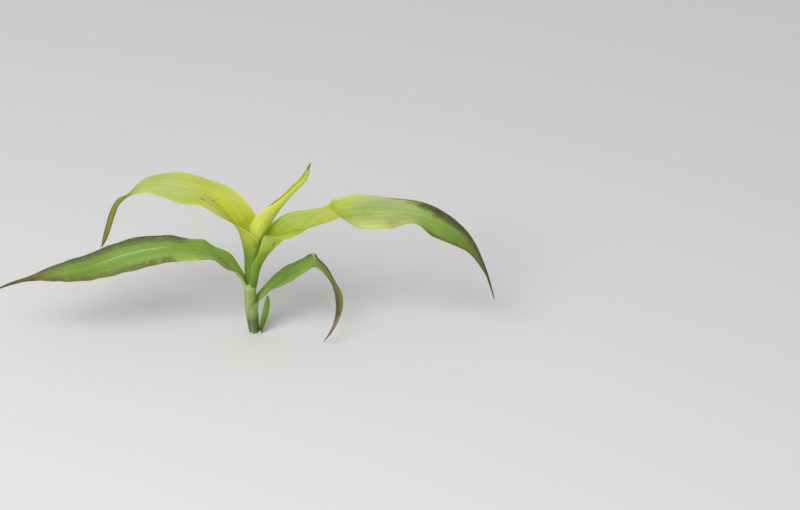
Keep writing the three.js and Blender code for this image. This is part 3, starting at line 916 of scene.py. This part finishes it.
def banded(tree, leaf, colours, places, colour):
    """The colour with the chilled bands along the margins."""
    for margin, first, last, width, band_colour, flecks, strength in leaf["bands"]:
        outward = maths(tree, "MULTIPLY", places["fore"], 1.0 if margin == "front" else -1.0)
        outward = maths(tree, "MULTIPLY_ADD", places["wander"], WANDER_FRAY * width, outward)
        ragged = maths(tree, "SUBTRACT", places["broad"], 0.5)
        outward = maths(tree, "MULTIPLY_ADD", ragged, STRIPE_FRAY * width, outward)
        flecked = maths(tree, "SUBTRACT", places["fleck"], 0.5)
        outward = maths(tree, "MULTIPLY_ADD", flecked, FLECK_FRAY * width * flecks, outward)
        inside = smooth(tree, outward, 1 - width, 1 - 0.6 * width)
        along = window(tree, places["drift"], first + FADE_ROWS, last, FADE_ROWS)
        mask = maths(tree, "MULTIPLY", inside, along)
        gap = maths(tree, "MULTIPLY", smooth(tree, places["fleck"], 0.5, 0.68), flecks)
        mask = maths(tree, "MULTIPLY", mask, rest(tree, gap))
        colour = painted(tree, colour, mask, strength, colour_of(colours, band_colour))
        bleached = maths(tree, "MULTIPLY", inside, smooth(tree, places["fleck"], 0.6, 0.66))
        along = window(tree, places["row"], first + FADE_ROWS, last, FADE_ROWS)
        bleached = maths(tree, "MULTIPLY", bleached, along)
        colour = painted(tree, colour, bleached, 0.5 * flecks, colour_of(colours, "straw"))
    return colour


def lined(tree, leaf, colours, places, colour):
    """The colour with the midrib, the collar, the crease and the pale margins, and with painted
    highlights along midrib and margins.
    """
    # Pale midrib line, strengthened on some leaves into a painted highlight.
    first, last, strength = leaf["midrib"]
    rib = rest(tree, smooth(tree, places["edge"], 0.02, 0.08))
    rib = maths(tree, "MULTIPLY", rib, window(tree, places["row"], first, last, 0.8))
    colour = painted(tree, colour, rib, strength, colour_of(colours, "midrib_pale"))
    if leaf["collar"]:
        row = leaf["collar"]
        collar = window(tree, places["row"], row - HALF_LINE, row + HALF_LINE, 0.1)
        colour = painted(tree, colour, collar, 0.3, colour_of(colours, "midrib_pale"))
    if leaf["crease"]:
        row, slant = leaf["crease"]
        aslant = maths(tree, "MULTIPLY_ADD", places["fore"], -slant, places["drift"])
        crease = window(tree, aslant, row - HALF_LINE, row + HALF_LINE, 0.12)
        colour = painted(tree, colour, crease, 0.75, colour_of(colours, "straw"))
    # Pale line along the margins, partly the pale margin itself and partly a painted highlight on the
    # edge.
    rim = smooth(tree, places["edge"], 0.95, 0.985)
    return painted(tree, colour, rim, leaf["rim"], colour_of(colours, "pale_rim_and_painted_highlight"))


def marked(tree, leaf, colours, places, colour):
    """The colour with its dark marks and its fine specks."""
    for row, across, reach, width, strength in leaf["marks"]:
        along = maths(tree, "DIVIDE", maths(tree, "SUBTRACT", places["row"], row), reach)
        aside = maths(tree, "DIVIDE", maths(tree, "SUBTRACT", places["fore"], across), width)
        along = maths(tree, "MULTIPLY", along, along)
        aside = maths(tree, "MULTIPLY", aside, aside)
        mark = rest(tree, smooth(tree, maths(tree, "ADD", along, aside), 0.4, 1.2))
        colour = painted(tree, colour, mark, strength, colour_of(colours, "purple_brown"))
    speck = smooth(tree, noise(tree, places["spot"], SPECK_SCALE, detail=2), 0.73, 0.77)
    return painted(tree, colour, speck, 0.6, colour_of(colours, "purple_brown"))


def leaf_readings(tree, leaf):
    """Where a point lies on the leaf, and the noises that its colours share."""
    last = len(leaf["rows"]) - 1
    seed = 3.7 * leaf["side"] + last
    spot = tree.nodes.new("ShaderNodeTexCoord").outputs["Object"]
    uv_map = tree.nodes.new("ShaderNodeUVMap")
    uv_map.uv_map = "UVMap"
    flat = uv_map.outputs["UV"]
    parts = tree.nodes.new("ShaderNodeSeparateXYZ")
    feed(tree, parts.inputs[0], flat)
    across = maths(tree, "MULTIPLY_ADD", parts.outputs["X"], 2.0, -1.0)
    row = maths(tree, "MULTIPLY", parts.outputs["Y"], float(last))
    wander = maths(tree, "SUBTRACT", noise(tree, spot, WANDER_SCALE), 0.5)
    vein_pairs = max(row[3] for row in leaf["rows"]) / VEIN_SPACING
    waves = maths(tree, "MULTIPLY", across, math.tau * vein_pairs)
    waves = maths(tree, "MULTIPLY_ADD", wander, VEIN_WANDER, waves)
    return {
        "spot": spot,
        "fore": maths(tree, "MULTIPLY", across, float(leaf["side"])),
        "edge": maths(tree, "ABSOLUTE", across),
        "row": row,
        "wander": wander,
        "drift": maths(tree, "MULTIPLY_ADD", wander, WANDER_ROWS, row),
        "broad": stripes(tree, flat, BROAD_STRIPES, 0.3 * last, seed),
        "narrow": stripes(tree, flat, NARROW_STRIPES, 0.4 * last, seed),
        "veins": maths(tree, "COSINE", waves),
        "fleck": stripes(tree, flat, FLECK_STRIPES, 3.5 * last, seed),
    }


def leaf_material(name, leaf, colours, underside):
    """Living leaf: its colours, painted light, bands, lines and marks, withered at the tip."""
    material, tree, shader = start_material(name)
    places = leaf_readings(tree, leaf)
    colour = blade_colour(tree, leaf, colours, places)
    # The underside gets its paler tone, and painted light where it lies in shade.
    if underside:
        for first, last, strength, over in leaf["under"]:
            inside = window(tree, places["row"], first, last, FADE_ROWS)
            colour = painted(tree, colour, inside, strength, colour_of(colours, over))
    # The upper face gets painted light in the shaded inside of a throat.
    elif leaf["painted_throat_light"]:
        first, last, strength = leaf["painted_throat_light"]
        inside = window(tree, places["row"], first, last, FADE_ROWS)
        colour = painted(tree, colour, inside, strength, colour_of(colours, "painted_light_lime"))
    colour = banded(tree, leaf, colours, places, colour)
    colour = lined(tree, leaf, colours, places, colour)
    colour = marked(tree, leaf, colours, places, colour)

    start, reach, dark, light = leaf["dry"]
    dry_at = maths(tree, "MULTIPLY_ADD", places["edge"], WITHER_LEAD, places["drift"])
    dry = smooth(tree, dry_at, start, start + reach)
    patch = smooth(tree, places["broad"], 0.4, 0.6)
    dead = mix_colour(tree, patch, colour_of(colours, dark), colour_of(colours, light))
    colour = mix_colour(tree, dry, colour, dead)

    feed(tree, shader.inputs["Base Color"], colour)
    gloss = stretch(tree, places["narrow"], 0.45, 0.62)
    feed(tree, shader.inputs["Roughness"], maths(tree, "MULTIPLY_ADD", dry, 0.25, gloss))
    bump = tree.nodes.new("ShaderNodeBump")
    bump.inputs["Strength"].default_value = 0.5
    bump.inputs["Distance"].default_value = 0.3 * MM
    feed(tree, bump.inputs["Height"], places["narrow"])
    feed(tree, shader.inputs["Normal"], bump.outputs["Normal"])
    shader.inputs["Specular IOR Level"].default_value = 0.3
    shader.inputs["Subsurface Weight"].default_value = 0.7
    shader.inputs["Subsurface Radius"].default_value = (1.0, 1.1, 0.35)
    shader.inputs["Subsurface Scale"].default_value = 1.5 * MM
    return material


def stem_material(colours):
    """Soft stem with fine lengthwise fibres."""
    material, tree, shader = start_material("stem_flesh")
    place = tree.nodes.new("ShaderNodeTexCoord").outputs["Object"]
    fibres = noise(tree, scaled(tree, place, FIBRE_SCALE), 1.0)
    share = smooth(tree, fibres, 0.3, 0.7)
    green = colour_of(colours, "stem_green")
    pale = colour_of(colours, "midrib_pale")
    feed(tree, shader.inputs["Base Color"], mix_colour(tree, share, green, pale))
    feed(tree, shader.inputs["Roughness"], stretch(tree, fibres, 0.4, 0.6))
    return material


# Operators


def stem_bow(step):
    """Share of its whole lean that the stem has reached at the top of a step."""
    return math.sin(step / STEM_STEPS * math.pi / 2)


class MAIZE_OT_stem(bpy.types.Operator):
    """Model the short stem inside the sheaths"""

    bl_idname = "maize.stem"
    bl_label = "Stem"
    bl_options = {"REGISTER", "UNDO"}

    def execute(self, context):
        _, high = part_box("stem_core")
        rise = high.z / STEM_STEPS
        bpy.ops.object.select_all(action="DESELECT")
        bpy.ops.mesh.primitive_cylinder_add(
            vertices=STEM_SIDES, radius=STEM_RADIUS, depth=rise, location=(0, 0, rise / 2)
        )
        piece = context.object
        piece.name = "stem_inner"
        piece.data.name = "stem_inner"
        bpy.ops.object.transform_apply(location=True, rotation=False, scale=False)
        bpy.ops.object.mode_set(mode="EDIT")
        bpy.ops.mesh.select_mode(type="FACE")
        for step in range(1, STEM_STEPS):
            shape = bmesh.from_edit_mesh(piece.data)
            bpy.ops.mesh.select_all(action="DESELECT")
            top = max(shape.faces, key=lambda face: face.calc_center_median().z)
            top.select = True
            bmesh.update_edit_mesh(piece.data)
            lean = STEM_LEAN * (stem_bow(step + 1) - stem_bow(step))
            bpy.ops.mesh.extrude_region_move(TRANSFORM_OT_translate={"value": (lean, 0, rise)})
            swell = KNOT_SWELL if step in STEM_KNOTS else STEP_TAPER
            bpy.ops.transform.resize(value=(swell, swell, 1))
        bpy.ops.object.mode_set(mode="OBJECT")
        finish_modifier(piece, "BEVEL", width=STEM_BEVEL, segments=2, limit_method="ANGLE")
        bpy.ops.object.shade_smooth_by_angle(angle=STEM_SMOOTH_ANGLE)
        piece.data.materials.append(stem_material(context.scene.maize_colours))
        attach(piece, "root")
        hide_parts("stem_core")
        return {"FINISHED"}


class MAIZE_OT_open_leaves(bpy.types.Operator):
    """Model the five open leaves with their sheaths"""

    bl_idname = "maize.open_leaves"
    bl_label = "Open leaves"
    bl_options = {"REGISTER", "UNDO"}

    def execute(self, context):
        for name in OPEN_LEAVES:
            model_leaf(name, context.scene)
        return {"FINISHED"}


class MAIZE_OT_rolled_leaf(bpy.types.Operator):
    """Model the newest leaf, still rolled"""

    bl_idname = "maize.rolled_leaf"
    bl_label = "Rolled leaf"
    bl_options = {"REGISTER", "UNDO"}

    def execute(self, context):
        model_leaf("leaf_6", context.scene)
        return {"FINISHED"}


class MAIZE_OT_stage(bpy.types.Operator):
    """Set the floor, the light and the camera"""

    bl_idname = "maize.stage"
    bl_label = "Stage"
    bl_options = {"REGISTER", "UNDO"}

    def execute(self, context):
        scene = context.scene
        stage = scene.maize_stage
        scene.view_settings.view_transform = "Standard"

        bpy.ops.object.select_all(action="DESELECT")
        bpy.ops.mesh.primitive_plane_add(size=FLOOR_SIZE, location=(0, 0, 0))
        floor = context.object
        floor.name = "floor"
        material, _, shader = start_material("pale_floor")
        shader.inputs["Base Color"].default_value = (*stage.floor, 1)
        shader.inputs["Roughness"].default_value = 0.9
        floor.data.materials.append(material)

        world = bpy.data.worlds.new("soft_sky")
        world.use_nodes = True
        background = world.node_tree.nodes["Background"]
        background.inputs["Color"].default_value = (*stage.sky, 1)
        background.inputs["Strength"].default_value = stage.sky_strength
        scene.world = world

        bpy.ops.object.light_add(type="AREA", location=stage.key_place)
        key = context.object
        key.name = "key_light"
        key.data.energy = stage.key_power
        key.data.size = LAMP_SIZE
        key.rotation_euler = (-Vector(stage.key_place)).to_track_quat("-Z", "Y").to_euler()

        bpy.ops.object.camera_add()
        camera = context.object
        camera.name = "camera"
        camera.data.lens = stage.lens
        camera.data.sensor_width = SENSOR_WIDTH
        camera.data.clip_end = VIEW_LIMIT
        back = Vector((0, -math.cos(stage.elevation), math.sin(stage.elevation)))
        camera.location = Vector(stage.aim) + back * stage.distance
        camera.rotation_euler = (math.radians(90) - stage.elevation, 0, 0)
        scene.camera = camera
        return {"FINISHED"}


class MAIZE_PT_plant(bpy.types.Panel):
    """Lists the plant's pieces and its stage"""

    bl_idname = "MAIZE_PT_plant"
    bl_label = "Young maize plant"
    bl_space_type = "VIEW_3D"
    bl_region_type = "UI"
    bl_category = "Maize"

    def draw(self, context):
        for group in (context.scene.maize_sizes, context.scene.maize_colours, context.scene.maize_stage):
            box = self.layout.box()
            for name in group.bl_rna.properties.keys():
                if name not in ("rna_type", "name"):
                    box.prop(group, name)
        for operator in OPERATORS:
            self.layout.operator(operator.bl_idname)


OPERATORS = (MAIZE_OT_stage, MAIZE_OT_stem, MAIZE_OT_open_leaves, MAIZE_OT_rolled_leaf)
GROUPS = {"maize_sizes": MaizeSizes, "maize_colours": MaizeColours, "maize_stage": MaizeStage}


def register():
    """Adds the classes, and their properties to the scene."""
    for group in GROUPS.values():
        bpy.utils.register_class(group)
    for operator in OPERATORS:
        bpy.utils.register_class(operator)
    bpy.utils.register_class(MAIZE_PT_plant)
    for name, group in GROUPS.items():
        setattr(bpy.types.Scene, name, PointerProperty(type=group))


def unregister():
    """Takes away what register adds."""
    for name in GROUPS:
        delattr(bpy.types.Scene, name)
    bpy.utils.unregister_class(MAIZE_PT_plant)
    for operator in reversed(OPERATORS):
        bpy.utils.unregister_class(operator)
    for group in reversed(GROUPS.values()):
        bpy.utils.unregister_class(group)


def main():
    """Makes the stage and every piece."""
    register()
    bpy.ops.maize.stage()
    bpy.ops.maize.stem()
    bpy.ops.maize.open_leaves()
    bpy.ops.maize.rolled_leaf()


if __name__ == "__main__":
    main()
